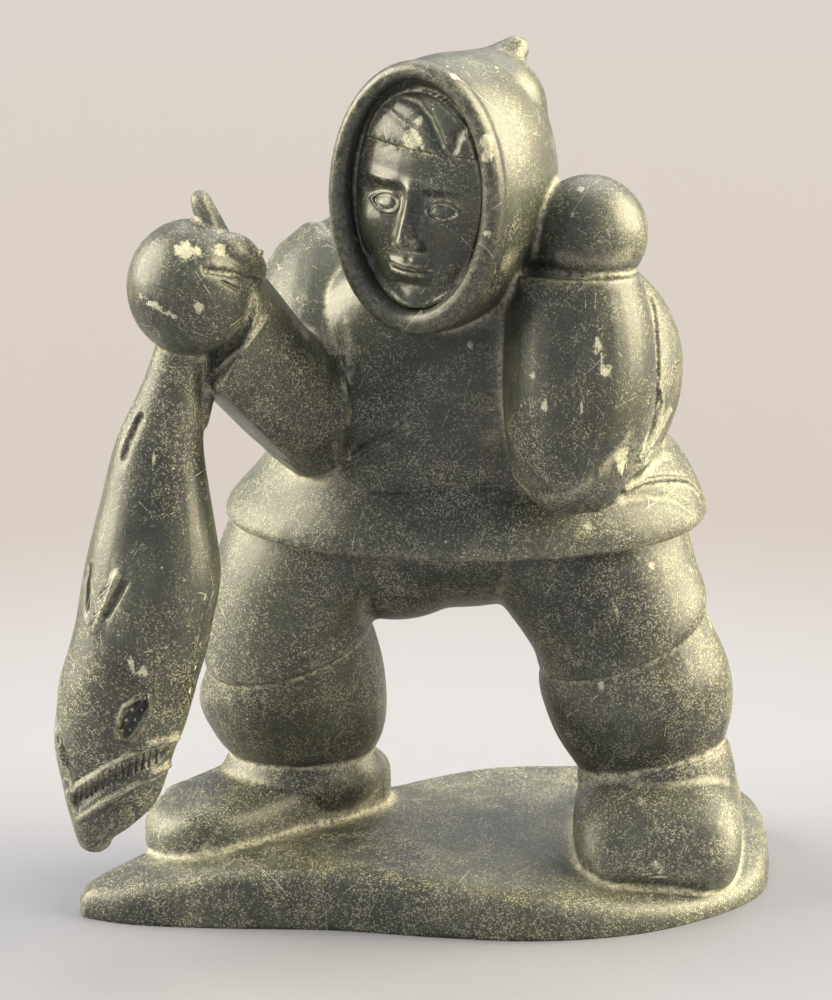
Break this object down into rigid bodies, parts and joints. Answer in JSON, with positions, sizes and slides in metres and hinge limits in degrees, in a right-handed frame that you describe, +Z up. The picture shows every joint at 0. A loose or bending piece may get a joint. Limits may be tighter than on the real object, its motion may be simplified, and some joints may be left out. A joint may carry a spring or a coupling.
{
  "type": "stone fisherman sculpture",
  "caption": "Hooded fisherman carved from one block of dark stone, holding a hanging fish by its tail and standing on a slab of the same stone.",
  "frame": {"origin": "middle of the slab's flat underside, at the bottom centre of the bounding box", "axes": "+Z up, +Y towards the figure's back, +X towards the figure's left hand"},
  "size_m": [0.2478, 0.1812, 0.3026],
  "materials": {
    "stone": "dark grey-green stone, finely speckled, dull with a half-polished sheen on the rounded forms"
  },
  "bodies": {
    "root": {"fisherman": "stone"}
  },
  "joints": []
}
